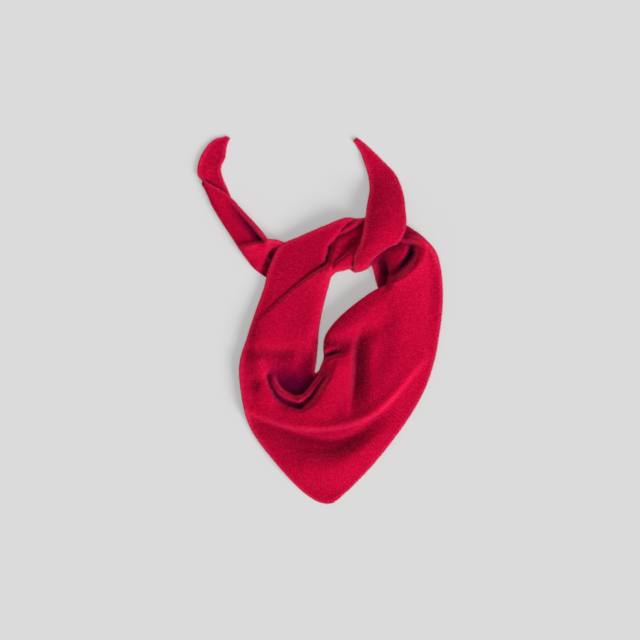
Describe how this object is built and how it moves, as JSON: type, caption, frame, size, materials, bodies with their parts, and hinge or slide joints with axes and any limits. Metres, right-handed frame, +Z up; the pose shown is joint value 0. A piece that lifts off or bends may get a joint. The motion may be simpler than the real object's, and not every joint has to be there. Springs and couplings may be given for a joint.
{
  "type": "neckerchief",
  "caption": "Knitted triangular neckerchief tied in a half knot and laid flat, with a rolled collar, a pointed bib and two tapering tails.",
  "frame": {"origin": "middle of the laid outline, on the surface it rests on", "axes": "+Z up from that surface, +Y towards the free tails, +X to the right seen from above with the tails at the top"},
  "size_m": [0.2452, 0.3666, 0.0233],
  "materials": {
    "knit": "brushed matte wool"
  },
  "bodies": {
    "root": {"kerchief_cloth": "knit"}
  },
  "joints": []
}
